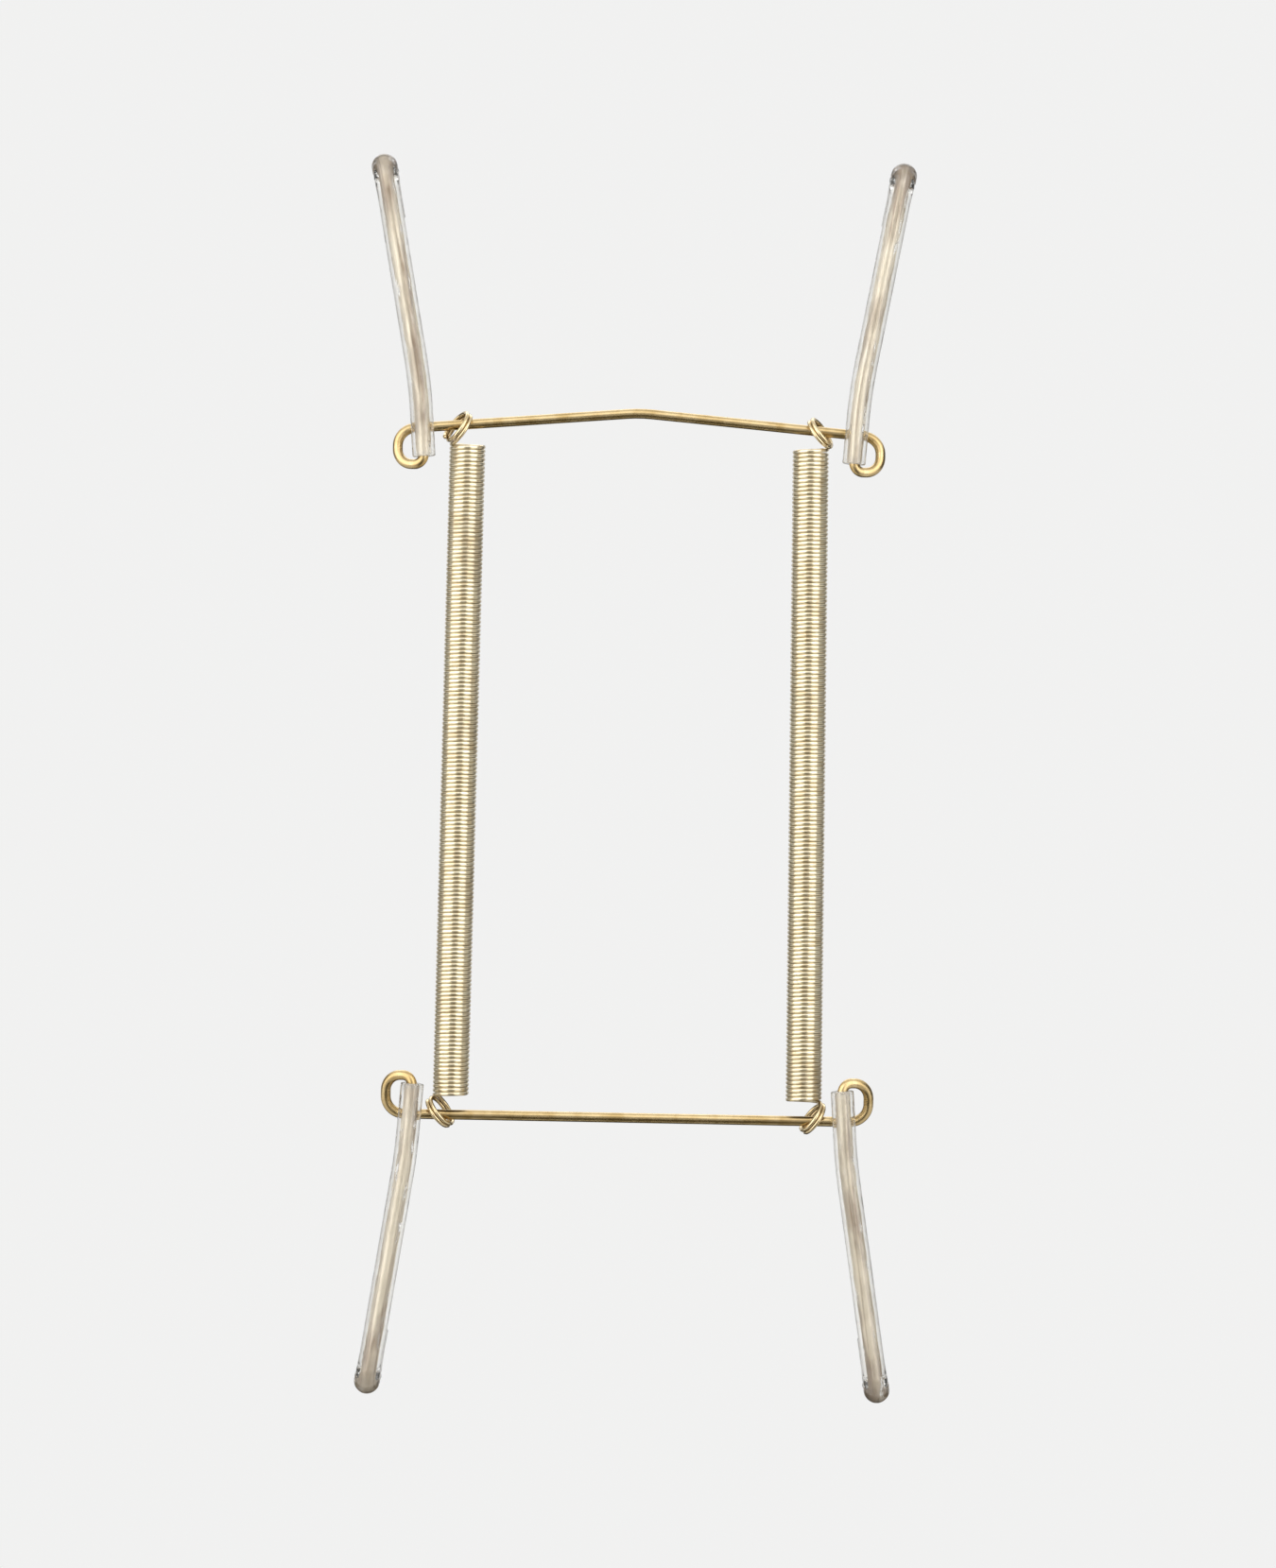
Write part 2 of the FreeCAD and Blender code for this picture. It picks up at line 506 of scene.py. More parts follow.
@dataclass(frozen=True)
class PathSamples:
    """Stations along a wire: places, headings, side directions that don't twist, and bends."""

    points: np.ndarray
    tangents: np.ndarray
    normals: np.ndarray
    bends: np.ndarray

    @property
    def lengths(self) -> np.ndarray:
        """Length along the path at each station."""
        steps = np.linalg.norm(np.diff(self.points, axis=0), axis=1)
        return np.concatenate([[0.0], np.cumsum(steps)])

    @property
    def from_end(self) -> np.ndarray:
        """Length from each station to the nearer end of the path."""
        return np.minimum(self.lengths, self.lengths[-1] - self.lengths)

    @property
    def inner(self) -> "PathSamples":
        """The same samples without the first and the last station."""
        return PathSamples(self.points[1:-1], self.tangents[1:-1], self.normals[1:-1], self.bends[1:-1])

    def rings(self, radii: np.ndarray, sides: int) -> np.ndarray:
        """Round profile carried along the path.

        A ring's point is its station plus the radius times cos a along the side direction and sin a
        along the heading crossed with the side direction.

        Args:
            radii: Radius at each station.
            sides: Points round each ring.

        Returns:
            Points with shape stations, sides, 3.
        """
        angle = np.arange(sides) * (FULL_TURN / sides)
        across = np.cross(self.tangents, self.normals)
        spokes = (np.cos(angle)[None, :, None] * self.normals[:, None, :]
                  + np.sin(angle)[None, :, None] * across[:, None, :])
        return self.points[:, None, :] + radii[:, None, None] * spokes

    def with_rounded_ends(self, depth: float) -> "PathSamples":
        """Add close stations at both ends, for a broken edge.

        Args:
            depth: Length of the broken edge along the path.

        Returns:
            The samples with three stations in place of each end station.
        """
        steps = np.array(EDGE_STEPS)[:, None] * depth
        head = self.points[0] + steps * self.tangents[0]
        foot = self.points[-1] - steps[::-1] * self.tangents[-1]
        extra = np.zeros(len(EDGE_STEPS), dtype=int)
        pick = np.concatenate([extra, np.arange(1, len(self.points) - 1), extra - 1])
        points = np.concatenate([head, self.points[1:-1], foot])
        return PathSamples(points, self.tangents[pick], self.normals[pick], self.bends[pick])


@dataclass(frozen=True)
class BentRoute:
    """Straight runs through corners, each inner corner rounded to its own radius, in millimetres."""

    corners: np.ndarray
    radii: tuple[float, ...]
    shortest_run: float = 0.001
    fewest_on_arc: int = 4
    sharp_radius: float = 3.0

    def sample(self, step: float, turn: float) -> PathSamples:
        """Stations along the runs and arcs.

        A run keeps its side direction. An arc turns heading and side direction together about the
        axis square to both of its legs, so the profile never twists.

        Args:
            step: Longest spacing on a run.
            turn: Largest turn between stations of an arc, in radians.

        Returns:
            The samples in order.
        """
        legs = np.diff(self.corners, axis=0)
        ways = legs / np.linalg.norm(legs, axis=1, keepdims=True)
        away = np.eye(3)[np.argmin(np.abs(ways[0]))]
        side = np.cross(ways[0], away)
        side = side / np.linalg.norm(side)
        here = self.corners[0]
        blocks: list[PathSamples] = []
        for index, radius in enumerate(self.radii):
            into = ways[index]
            onward = ways[index + 1]
            angle = math.acos(float(np.clip(into @ onward, -1.0, 1.0)))
            start = self.corners[index + 1] - into * (radius * math.tan(angle / 2.0))
            count = max(self.fewest_on_arc, math.ceil(angle / turn) + 1)
            arc = self._arc(start, into, onward, side, radius, np.linspace(0.0, angle, count))
            blocks += [self._run(here, start, into, side, step), arc.inner]
            here = arc.points[-1]
            side = arc.normals[-1]
        blocks.append(self._run(here, self.corners[-1], ways[-1], side, step))
        parts = [(block.points, block.tangents, block.normals, block.bends) for block in blocks]
        return PathSamples(*(np.concatenate(column) for column in zip(*parts)))

    def _run(self, start: np.ndarray, end: np.ndarray, way: np.ndarray, side: np.ndarray,
             step: float) -> PathSamples:
        """Evenly spaced stations on one straight run, both ends among them.

        Args:
            start: First point of the run.
            end: Last point of the run.
            way: Heading.
            side: Side direction.
            step: Longest spacing.

        Returns:
            The samples, or one alone where the run has no length.
        """
        span = float(np.linalg.norm(end - start))
        count = 1 if span < self.shortest_run else max(2, math.ceil(span / step) + 1)
        share = np.linspace(0.0, 1.0, count)[:, None]
        points = start + share * (end - start)
        return PathSamples(points, np.tile(way, (count, 1)), np.tile(side, (count, 1)), np.zeros(count))

    def _arc(self, start: np.ndarray, into: np.ndarray, onward: np.ndarray, side: np.ndarray,
             radius: float, swept: np.ndarray) -> PathSamples:
        """Stations on one arc: start plus the radius times 1 less cos t inwards and sin t onwards.

        Args:
            start: First point of the arc.
            into: Heading before the arc.
            onward: Heading after the arc.
            side: Side direction at the start.
            radius: Radius of the arc.
            swept: Angle turned at each station.

        Returns:
            The samples, with a bend that is full at a sharp radius.
        """
        axis = np.cross(into, onward)
        axis = axis / np.linalg.norm(axis)
        inward = np.cross(axis, into)
        cosine = np.cos(swept)[:, None]
        sine = np.sin(swept)[:, None]
        points = start + radius * ((1.0 - cosine) * inward + sine * into)
        tangents = cosine * into + sine * inward
        normals = cosine * side + sine * np.cross(axis, side) + (1.0 - cosine) * (axis @ side) * axis
        bends = np.full(len(swept), min(1.0, self.sharp_radius / radius))
        return PathSamples(points, tangents, normals, bends)


@dataclass
class GridSkin:
    """Surface on a grid of rings, closed around, and either capped at its ends or joined end to end."""

    name: str
    rings: np.ndarray
    lengths: np.ndarray
    radii: np.ndarray
    joined: bool = False
    marks: dict[str, np.ndarray] = field(default_factory=dict)
    bands: Union[np.ndarray, None] = None

    def faces(self) -> list[list[int]]:
        """Number the corners of the faces.

        Ring i and point j join their next neighbours in quads that face outwards. An open skin has a
        cap at each end.

        Returns:
            Corners of each face.
        """
        count, sides = self.rings.shape[:2]
        row = np.arange(count if self.joined else count - 1)[:, None]
        column = np.arange(sides)[None, :]
        after = (row + 1) % count
        beside = (column + 1) % sides
        quads = np.stack([row * sides + column, row * sides + beside,
                          after * sides + beside, after * sides + column], axis=-1)
        faces = quads.reshape(-1, 4).tolist()
        if not self.joined:
            last = (count - 1) * sides
            faces.append(np.arange(sides)[::-1].tolist())
            faces.append((last + np.arange(sides)).tolist())
        return faces

    def add_marks(self, mesh: bpy.types.Mesh) -> None:
        """Store what the finishes read.

        The skin attribute gives each point's place on the straightened wire in millimetres: radius
        times cos a, radius times sin a, and length along the wire.

        Args:
            mesh: Mesh with the skin's points.
        """
        sides = self.rings.shape[1]
        angle = np.arange(sides) * (FULL_TURN / sides)
        radii = self.radii[:, None]
        places = (radii * np.cos(angle), radii * np.sin(angle), self.lengths[:, None])
        skin = np.stack(np.broadcast_arrays(*places), axis=-1)
        layer = mesh.attributes.new("skin", "FLOAT_VECTOR", "POINT")
        layer.data.foreach_set("vector", skin.astype(np.float32).ravel())
        for key, values in self.marks.items():
            layer = mesh.attributes.new(key, "FLOAT", "POINT")
            layer.data.foreach_set("value", np.repeat(values, sides).astype(np.float32))

    def build(self, *finishes: bpy.types.Material) -> bpy.types.Object:
        """Make the mesh object.

        Args:
            finishes: Materials, in the order that the bands number them for each row of quads.

        Returns:
            The object, at the origin, with its place in its mesh.
        """
        faces = self.faces()
        mesh = bpy.data.meshes.new(self.name)
        mesh.from_pydata((self.rings.reshape(-1, 3) * MM).tolist(), [], faces)
        mesh.polygons.foreach_set("use_smooth", np.ones(len(faces), dtype=bool))
        self.add_marks(mesh)
        for finish in finishes:
            mesh.materials.append(finish)
        if self.bands is not None:
            worn = np.repeat(self.bands, self.rings.shape[1])
            mesh.polygons.foreach_set("material_index", worn.astype(np.int32))
        mesh.update()
        return add_object(self.name, mesh)


@dataclass(frozen=True)
class HangerSizes:
    """Sizes that the sub-assemblies share, in millimetres and degrees."""

    wire_diameter: float = 1.6
    bar_slope: float = 4.8
    peak_radius: float = 25.0
    spring_diameter: float = 5.85
    spring_wire: float = 0.675
    spring_turns: int = 156
    spring_top_spacing: float = 55.2
    spring_foot_spacing: float = 56.8
    ring_opening: float = 55.0
    ring_sink: float = 0.15
    ring_turn: float = 20.0
    upper_ring_seat: float = 0.4
    lower_ring_seat: float = 0.5

    @property
    def coil_radius(self) -> float:
        """Radius of the coil at the middle of its wire."""
        return (self.spring_diameter - self.spring_wire) / 2.0

    @property
    def coil_length(self) -> float:
        """Length of the close-wound coil."""
        return self.spring_turns * self.spring_wire

    @property
    def opening(self) -> float:
        """Opening of an end ring from the coil's end, in radians."""
        return math.radians(self.ring_opening)

    @property
    def ring_shift(self) -> float:
        """Sideways step from the coil's axis to the middle of an opened end ring."""
        return self.coil_radius * (1.0 - math.cos(self.opening)) + self.spring_wire * math.sin(self.opening)

    @property
    def ring_rise(self) -> float:
        """Height of the middle of an opened end ring past the coil's end."""
        rise = self.coil_radius * math.sin(self.opening) + self.spring_wire * math.cos(self.opening)
        return rise - self.ring_sink

    @property
    def slope(self) -> float:
        """Fall of the upper bar for each millimetre away from its peak."""
        return math.tan(math.radians(self.bar_slope))

    @property
    def peak_height(self) -> float:
        """Height of the upper bar's sharp peak, before its rounding, above the nail."""
        rounding = 1.0 / math.cos(math.radians(self.bar_slope)) - 1.0
        return self.wire_diameter / 2.0 + self.peak_radius * rounding

    @property
    def coil_top(self) -> float:
        """Height of the coils' upper end."""
        reach = self.spring_top_spacing / 2.0 + self.ring_shift * math.cos(math.radians(self.ring_turn))
        return self.peak_height - self.slope * reach - self.upper_ring_seat - self.ring_rise

    @property
    def lean(self) -> float:
        """Lean of each spring, foot outwards, in radians."""
        return math.asin((self.spring_foot_spacing - self.spring_top_spacing) / 2.0 / self.coil_length)

    @property
    def coil_foot(self) -> float:
        """Height of the coils' lower end."""
        return self.coil_top - self.coil_length * math.cos(self.lean)

    @property
    def lower_bar(self) -> float:
        """Height of the lower bar."""
        return self.coil_foot - self.ring_rise - self.lower_ring_seat


@dataclass
class WireFrame:
    """One bent wire with its bar, eye curls, arms and hooks, and the clear sleeves on its arms.

    Lengths are in millimetres and angles in degrees, but the turn between two stations is in radians.
    """

    sizes: HangerSizes
    tier: Tier
    body: Body
    wire_finish: bpy.types.Material
    sleeve_finishes: tuple[bpy.types.Material, bpy.types.Material]
    curl_height: float
    arm_splay: float
    arm_height: float
    grain_shift: float
    arm_spacing: float = 68.8
    curl_width: float = 4.4
    curl_radii: tuple[float, float, float] = (2.95, 2.8, 1.6)
    curl_turn_share: float = 0.4
    root_splay: float = 4.3
    root_height: float = 12.8
    arm_tilt: float = 3.3
    arm_radii: tuple[float, float, float] = (80.0, 2.4, 2.4)
    hook_depth: float = 8.4
    hook_flare: float = 15.0
    hook_tip: float = 8.0
    sleeve_diameter: float = 3.7
    sleeve_bore: float = 1.68
    sleeve_overhang: float = 0.6
    sleeve_foot: float = 1.25
    arm_clearance: float = 0.2
    broken_edge: float = 0.22
    wire_taper: Span = (0.72, 0.90)
    rim_inset: Span = (0.16, 0.05)
    bore_flare: float = 0.08
    bulge: float = 0.16
    bulge_bend: float = 0.5
    bulge_window: int = 5
    wrinkle_share: float = 0.45
    wrinkle_rate: float = 4.6
    under_fade: float = 0.4
    # Reach of the painted shade round the hook along the arm.
    hook_shade_fade: float = 5.0
    cut_fade: float = 1.6
    sleeve_shift: float = 90.0
    wire_sides: int = 24
    wire_step: float = 1.6
    wire_turn: float = 0.10
    sleeve_sides: int = 28
    sleeve_step: float = 1.2
    sleeve_turn: float = 0.12

    @property
    def label(self) -> str:
        """Word for the tier in the names of its pieces and nodes."""
        return self.tier.name.lower()

    def bar_end(self) -> float:
        """Height of the bar where its eye curls begin.

        Returns:
            The height, in millimetres.
        """
        if self.tier is Tier.UPPER:
            return self.sizes.peak_height - self.sizes.slope * (self.arm_spacing / 2.0 + self.curl_width)
        return self.sizes.lower_bar

    def arm_corners(self, side: Side) -> np.ndarray:
        """Corners from the outer end of the bar round its curl, along the arm and round the hook.

        Args:
            side: Half of the hanger.

        Returns:
            Seven points, in millimetres.
        """
        up = self.tier.value
        tilt = math.tan(math.radians(self.arm_tilt))
        foot_x = self.arm_spacing / 2.0
        foot_y = (-self.sleeve_diameter / 2.0 - self.sizes.wire_diameter / 2.0 - self.arm_clearance
                  - self.curl_height * tilt)
        bar = self.bar_end()
        foot_z = bar - up * self.curl_height
        outer_x = foot_x + self.curl_width
        root_x = foot_x + self.root_height * math.tan(math.radians(self.root_splay))
        top_x = root_x + (self.arm_height - self.root_height) * math.tan(math.radians(self.arm_splay))
        outer = np.array([outer_x, 0.0, bar])
        turn = np.array([outer_x, foot_y * self.curl_turn_share, foot_z])
        foot = np.array([foot_x, foot_y, foot_z])
        root = np.array([root_x, foot_y + self.root_height * tilt, foot_z + up * self.root_height])
        top = np.array([top_x, foot_y + self.arm_height * tilt, foot_z + up * self.arm_height])
        back = top + np.array([0.0, self.hook_depth, 0.0])
        along = (root - top) / np.linalg.norm(root - top)
        flare = math.radians(self.hook_flare)
        tip = back + (along * math.cos(flare) + np.array([0.0, math.sin(flare), 0.0])) * self.hook_tip
        right = np.stack([outer, turn, foot, root, top, back, tip])
        return right * np.array([side.value, 1.0, 1.0])

    def wire_route(self) -> BentRoute:
        """Route of the whole wire, from the left hook's tip to the right one's.

        Returns:
            The route, with a rounded peak in the middle of the upper bar.
        """
        left = self.arm_corners(Side.LEFT)[::-1]
        right = self.arm_corners(Side.RIGHT)
        ends = self.curl_radii + self.arm_radii
        if self.tier is Tier.UPPER:
            peak = np.array([[0.0, 0.0, self.sizes.peak_height]])
            radii = ends[::-1] + (self.sizes.peak_radius,) + ends
            return BentRoute(np.concatenate([left, peak, right]), radii)
        return BentRoute(np.concatenate([left, right]), ends[::-1] + ends)

    def sleeve_route(self, side: Side) -> BentRoute:
        """Route of one sleeve, from above the curl's foot to just past the hook's tip.

        Args:
            side: Half of the hanger.

        Returns:
            The route, bent as the arm is.
        """
        foot, root, top, back, tip = self.arm_corners(side)[2:]
        start = foot + (root - foot) / np.linalg.norm(root - foot) * self.sleeve_foot
        end = tip + (tip - back) / np.linalg.norm(tip - back) * self.sleeve_overhang
        return BentRoute(np.stack([start, root, top, back, end]), self.arm_radii)

    def build_wire(self) -> bpy.types.Object:
        """Carry the wire's round profile along its route, with broken edges at both cut ends.

        The under mark rises to 1 just inside each sleeve's foot. The hook mark, by which the finish
        paints shade, is 1 round the hook and falls along the arm by a bell curve.

        Returns:
            The wire, riding on its frame's body.
        """
        path = self.wire_route().sample(self.wire_step, self.wire_turn).with_rounded_ends(self.broken_edge)
        lengths = path.lengths
        radii = np.full(len(lengths), self.sizes.wire_diameter / 2.0)
        radii[EDGE_STATIONS] *= np.array(self.wire_taper + self.wire_taper[::-1])
        feet = [self.sleeve_route(side).corners[0] for side in Side]
        first, last = (lengths[np.argmin(np.linalg.norm(path.points - foot, axis=1))] for foot in feet)
        under = np.clip(np.maximum(first - lengths, lengths - last) / self.under_fade, 0.0, 1.0)
        # Mask of the painted shade round the hook.
        hook = bell(np.maximum(path.from_end - self.hook_tip - self.hook_depth, 0.0), self.hook_shade_fade)
        skin = GridSkin(f"bent_wire_{self.label}", path.rings(radii, self.wire_sides),
                        lengths + self.grain_shift, radii,
                        marks={"bend": path.bends, "under": under, "hook": hook})
        made = skin.build(self.wire_finish)
        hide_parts(f"{self.label}_wire")
        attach(made, self.body.value)
        return made

    def build_sleeve(self, side: Side) -> bpy.types.Object:
        """Carry a tube's wall along the arm: outer rings out to the tip, then bore rings back.

        Round the hook's two bends the wall bulges and wrinkles: the radius grows by a sine of the
        length along the tube.

        Args:
            side: Half of the hanger.

        Returns:
            The sleeve, a closed wall with softened rims.
        """
        route = self.sleeve_route(side)
        path = route.sample(self.sleeve_step, self.sleeve_turn).with_rounded_ends(self.broken_edge)
        lengths = path.lengths
        count = len(lengths)
        bent = np.where(path.bends > self.bulge_bend, 1.0, 0.0)
        tight = np.convolve(bent, np.ones(self.bulge_window) / self.bulge_window, mode="same")
        outer = np.full(count, self.sleeve_diameter / 2.0)
        outer += self.bulge * tight * (1.0 + self.wrinkle_share * np.sin(lengths * self.wrinkle_rate))
        outer[EDGE_STATIONS] -= np.array(self.rim_inset + self.rim_inset[::-1])
        bore = np.full(count, self.sleeve_bore / 2.0)
        bore[[0, -1]] += self.bore_flare
        rings = np.concatenate([path.rings(outer, self.sleeve_sides),
                                path.rings(bore, self.sleeve_sides)[::-1]])
        grain = np.concatenate([lengths, lengths[::-1]]) + self.grain_shift + side.value * self.sleeve_shift
        cut = np.clip(1.0 - path.from_end / self.cut_fade, 0.0, 1.0) ** 2
        bands = np.full(2 * count, TubeFace.OUTER.value)
        bands[count:-1] = TubeFace.BORE.value
        half = side.name.lower()
        skin = GridSkin(f"clear_sleeve_{self.label}_{half}", rings, grain,
                        np.concatenate([outer, bore[::-1]]), joined=True,
                        marks={"cut": np.concatenate([cut, cut[::-1]])}, bands=bands)
        made = skin.build(*self.sleeve_finishes)
        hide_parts(f"{self.label}_{half}_sleeve")
        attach(made, self.body.value)
        return made

    def build(self) -> list[bpy.types.Object]:
        """Build and dress the wire and both sleeves."""
        return [self.build_wire(), self.build_sleeve(Side.LEFT), self.build_sleeve(Side.RIGHT)]


@dataclass(frozen=True)
class OpenedRing:
    """One opened end ring in the upright spring's own frame.

    It has its middle, the spoke to its hinge, the direction a quarter turn on from that, the axis
    that points away from the coil, and the hinge's azimuth.
    """

    middle: np.ndarray
    spoke: np.ndarray
    quarter: np.ndarray
    axis: np.ndarray
    azimuth: float


@dataclass
class CoilSpring:
    """Close-wound extension spring whose last two turns at each end open like a lid round a bar.

    The opening's share and the hinge's reach are in turns, and other lengths in millimetres.
    """

    sizes: HangerSizes
    side: Side
    finish: bpy.types.Material
    ring_turns: float = 1.96
    steps_per_turn: int = 30
    wire_sides: int = 8
    end_taper: float = 0.82
    opening_share: float = 0.13
    hinge_reach: float = 0.12
    ring_fade: float = 3.0
    grain_shift: float = 700.0

    def opened_ring(self, tier: Tier) -> OpenedRing:
        """Work out the opened ring at one end.

        Args:
            tier: End of the spring.

        Returns:
            The ring.
        """
        sizes = self.sizes
        sign = self.side.value
        up = tier.value
        sine = math.sin(sizes.opening)
        cosine = math.cos(sizes.opening)
        about = -sign * up * math.radians(sizes.ring_turn)
        spin = np.array([[math.cos(about), -math.sin(about), 0.0],
                         [math.sin(about), math.cos(about), 0.0],
                         [0.0, 0.0, 1.0]])
        end = 0.0 if tier is Tier.UPPER else -sizes.coil_length
        return OpenedRing(
            middle=spin @ np.array([sign * sizes.ring_shift, 0.0, end + up * sizes.ring_rise]),
            spoke=spin @ np.array([sign * cosine, 0.0, -up * sine]),
            quarter=spin @ np.array([0.0, float(sign), 0.0]),
            axis=spin @ np.array([sign * sine, 0.0, up * cosine]),
            azimuth=about + (0.0 if self.side is Side.RIGHT else math.pi),
        )

    def path(self) -> PathSamples:
        """Stations along the spring's wire, from one free end to the other.

        Between the hinges the wire is a helix: its azimuth falls by one turn, and its height by one
        pitch, for each turn. Past a hinge it winds on about the opened ring's own axis. The two are
        blended by a smooth step over a part of a turn, and so are their spokes, which give the side
        direction.

        Returns:
            The samples, placed in the hanger's frame.
        """
        sizes = self.sizes
        radius = sizes.coil_radius
        top = self.opened_ring(Tier.UPPER)
        foot = self.opened_ring(Tier.LOWER)
        turns = sizes.spring_turns + (top.azimuth - foot.azimuth) / FULL_TURN
        count = round((turns + 2.0 * self.ring_turns) * self.steps_per_turn) + 1
        place = np.linspace(-self.ring_turns, turns + self.ring_turns, count)
        azimuth = top.azimuth - FULL_TURN * place
        spokes = np.stack([np.cos(azimuth), np.sin(azimuth), np.zeros_like(place)], axis=-1)
        fall = -sizes.spring_wire / 2.0 - (sizes.coil_length - sizes.spring_wire) / turns * place
        points = radius * spokes + fall[:, None] * np.array([0.0, 0.0, 1.0])
        for tier, ring, past in ((Tier.UPPER, top, -place), (Tier.LOWER, foot, place - turns)):
            angle = tier.value * FULL_TURN * past
            ring_spokes = np.cos(angle)[:, None] * ring.spoke + np.sin(angle)[:, None] * ring.quarter
            along = (sizes.spring_wire * (past - 1.0))[:, None] * ring.axis
            ring_points = ring.middle + radius * ring_spokes + along
            share = smooth_step(past / (2.0 * self.opening_share) + 0.5)[:, None]
            points = points + share * (ring_points - points)
            spokes = spokes + share * (ring_spokes - spokes)
        lean = -self.side.value * sizes.lean
        tip = np.array([[math.cos(lean), 0.0, math.sin(lean)],
                        [0.0, 1.0, 0.0],
                        [-math.sin(lean), 0.0, math.cos(lean)]])
        origin = np.array([self.side.value * sizes.spring_top_spacing / 2.0, 0.0, sizes.coil_top])
        points = points @ tip.T + origin
        spokes = spokes @ tip.T
        heading = np.gradient(points, axis=0)
        heading = heading / np.linalg.norm(heading, axis=1, keepdims=True)
        spokes = spokes - np.sum(spokes * heading, axis=1, keepdims=True) * heading
        spokes = spokes / np.linalg.norm(spokes, axis=1, keepdims=True)
        bends = bell(np.maximum(-place, place - turns), self.hinge_reach)
        return PathSamples(points, heading, spokes, bends)

    def build(self) -> bpy.types.Object:
        """Carry the spring's wire along its path, and bake its place into its mesh.

        The ring mark is 1 on the opened rings and falls to 0 round each hinge. By it the finish
        paints shade on the rings and polishes them.

        Returns:
            The spring, with its place baked into its mesh.
        """
        path = self.path()
        sizes = self.sizes
        sign = self.side.value
        half = self.side.name.lower()
        radii = np.full(len(path.points), sizes.spring_wire / 2.0)
        radii[[0, -1]] *= self.end_taper
        ring_length = self.ring_turns * FULL_TURN * sizes.coil_radius
        # Mask of the rings' painted shade and polish.
        ring = np.clip((ring_length - path.from_end) / self.ring_fade + 0.5, 0.0, 1.0)
        skin = GridSkin(f"wound_spring_{half}", path.rings(radii, self.wire_sides),
                        path.lengths + sign * self.grain_shift, radii,
                        marks={"bend": path.bends, "ring": ring})
        made = skin.build(self.finish)
        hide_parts(f"{half}_spring")
        top = (sign * sizes.spring_top_spacing / 2.0 * MM, 0.0, sizes.coil_top * MM)
        foot = (sign * sizes.spring_foot_spacing / 2.0 * MM, 0.0, sizes.coil_foot * MM)
        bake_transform(made)
        return made


@dataclass(frozen=True)
class SoftLamp:
    """One soft lamp, placed round the hanger by its bearing from the camera's side.

    Bearing and height are in degrees, distance and size in metres and power in watts.
    """

    name: str
    bearing: float
    height: float
    distance: float
    size: Span
    power: float
    through_clear: bool = True

    def build(self, target: Vector) -> bpy.types.Object:
        """Make the lamp and turn it to the target.

        Args:
            target: Point that the lamp faces.

        Returns:
            The lamp.
        """
        data = bpy.data.lights.new(self.name, "AREA")
        data.shape = "RECTANGLE"
        data.size, data.size_y = self.size
        data.energy = self.power
        made = add_object(self.name, data)
        turn = math.radians(self.bearing)
        rise = math.radians(self.height)
        way = Vector((math.sin(turn) * math.cos(rise), -math.cos(turn) * math.cos(rise), math.sin(rise)))
        made.location = target + way * self.distance
        made.rotation_mode = "QUATERNION"
        made.rotation_quaternion = way.to_track_quat("Z", "Y")
        made.visible_camera = False
        made.visible_transmission = self.through_clear
        return made


@dataclass(frozen=True)
class DarkPanel:
    """One dark panel that only gloss sees, bent round the hanger, so that metal has edges.

    Bearings are in degrees, and heights and radii in metres.
    """

    name: str
    bearings: Span
    heights: Span
    radii: Span
    tone: float
    tint: Colour = (1.0, 1.0, 1.0)
    deep_share: float = 0.9
    grain: Grain = Grain(scale=30.0, detail=3.0)
    columns: int = 24
    rows: int = 4

    def material(self) -> bpy.types.Material:
        """Lay out an even dim tone with a faint grain.

        Returns:
            The finished material.
        """
        material, bench = new_material(f"{self.name}_paper")
        light = tuple(self.tone * share for share in self.tint)
        deep = tuple(value * self.deep_share for value in light)
        shade = bench.mix(self.grain.read(bench, bench.place()), light, deep)
        paper = bench.node("ShaderNodeEmission", {}, {"Color": shade, "Strength": 1.0})
        bench.node("ShaderNodeOutputMaterial", {}, {"Surface": paper})
        return material

    def build(self, target: Vector) -> bpy.types.Object:
        """Make the panel: bearing runs along one side of its grid, height and radius along the other.

        Args:
            target: Point that the bearings, heights and radii are measured from.

        Returns:
            The panel, hidden from the camera, from diffuse light, from clear pieces and from shadows.
        """
        stride = self.rows + 1
        turn = np.radians(np.linspace(*self.bearings, self.columns + 1))[:, None]
        reach = np.linspace(*self.radii, stride)[None, :]
        rise = np.linspace(*self.heights, stride)[None, :]
        grid = np.stack(np.broadcast_arrays(np.sin(turn) * reach, -np.cos(turn) * reach, rise), axis=-1)
        points = grid.reshape(-1, 3) + np.array(target)
        near = np.arange(self.columns)[:, None] * stride + np.arange(self.rows)[None, :]
        far = near + stride
        quads = np.stack([near, far, far + 1, near + 1], axis=-1)
        mesh = bpy.data.meshes.new(self.name)
        mesh.from_pydata(points.tolist(), [], quads.reshape(-1, 4).tolist())
        mesh.materials.append(self.material())
        made = add_object(self.name, mesh)
        made.visible_camera = False
        made.visible_diffuse = False
        made.visible_transmission = False
        made.visible_shadow = False
        return made


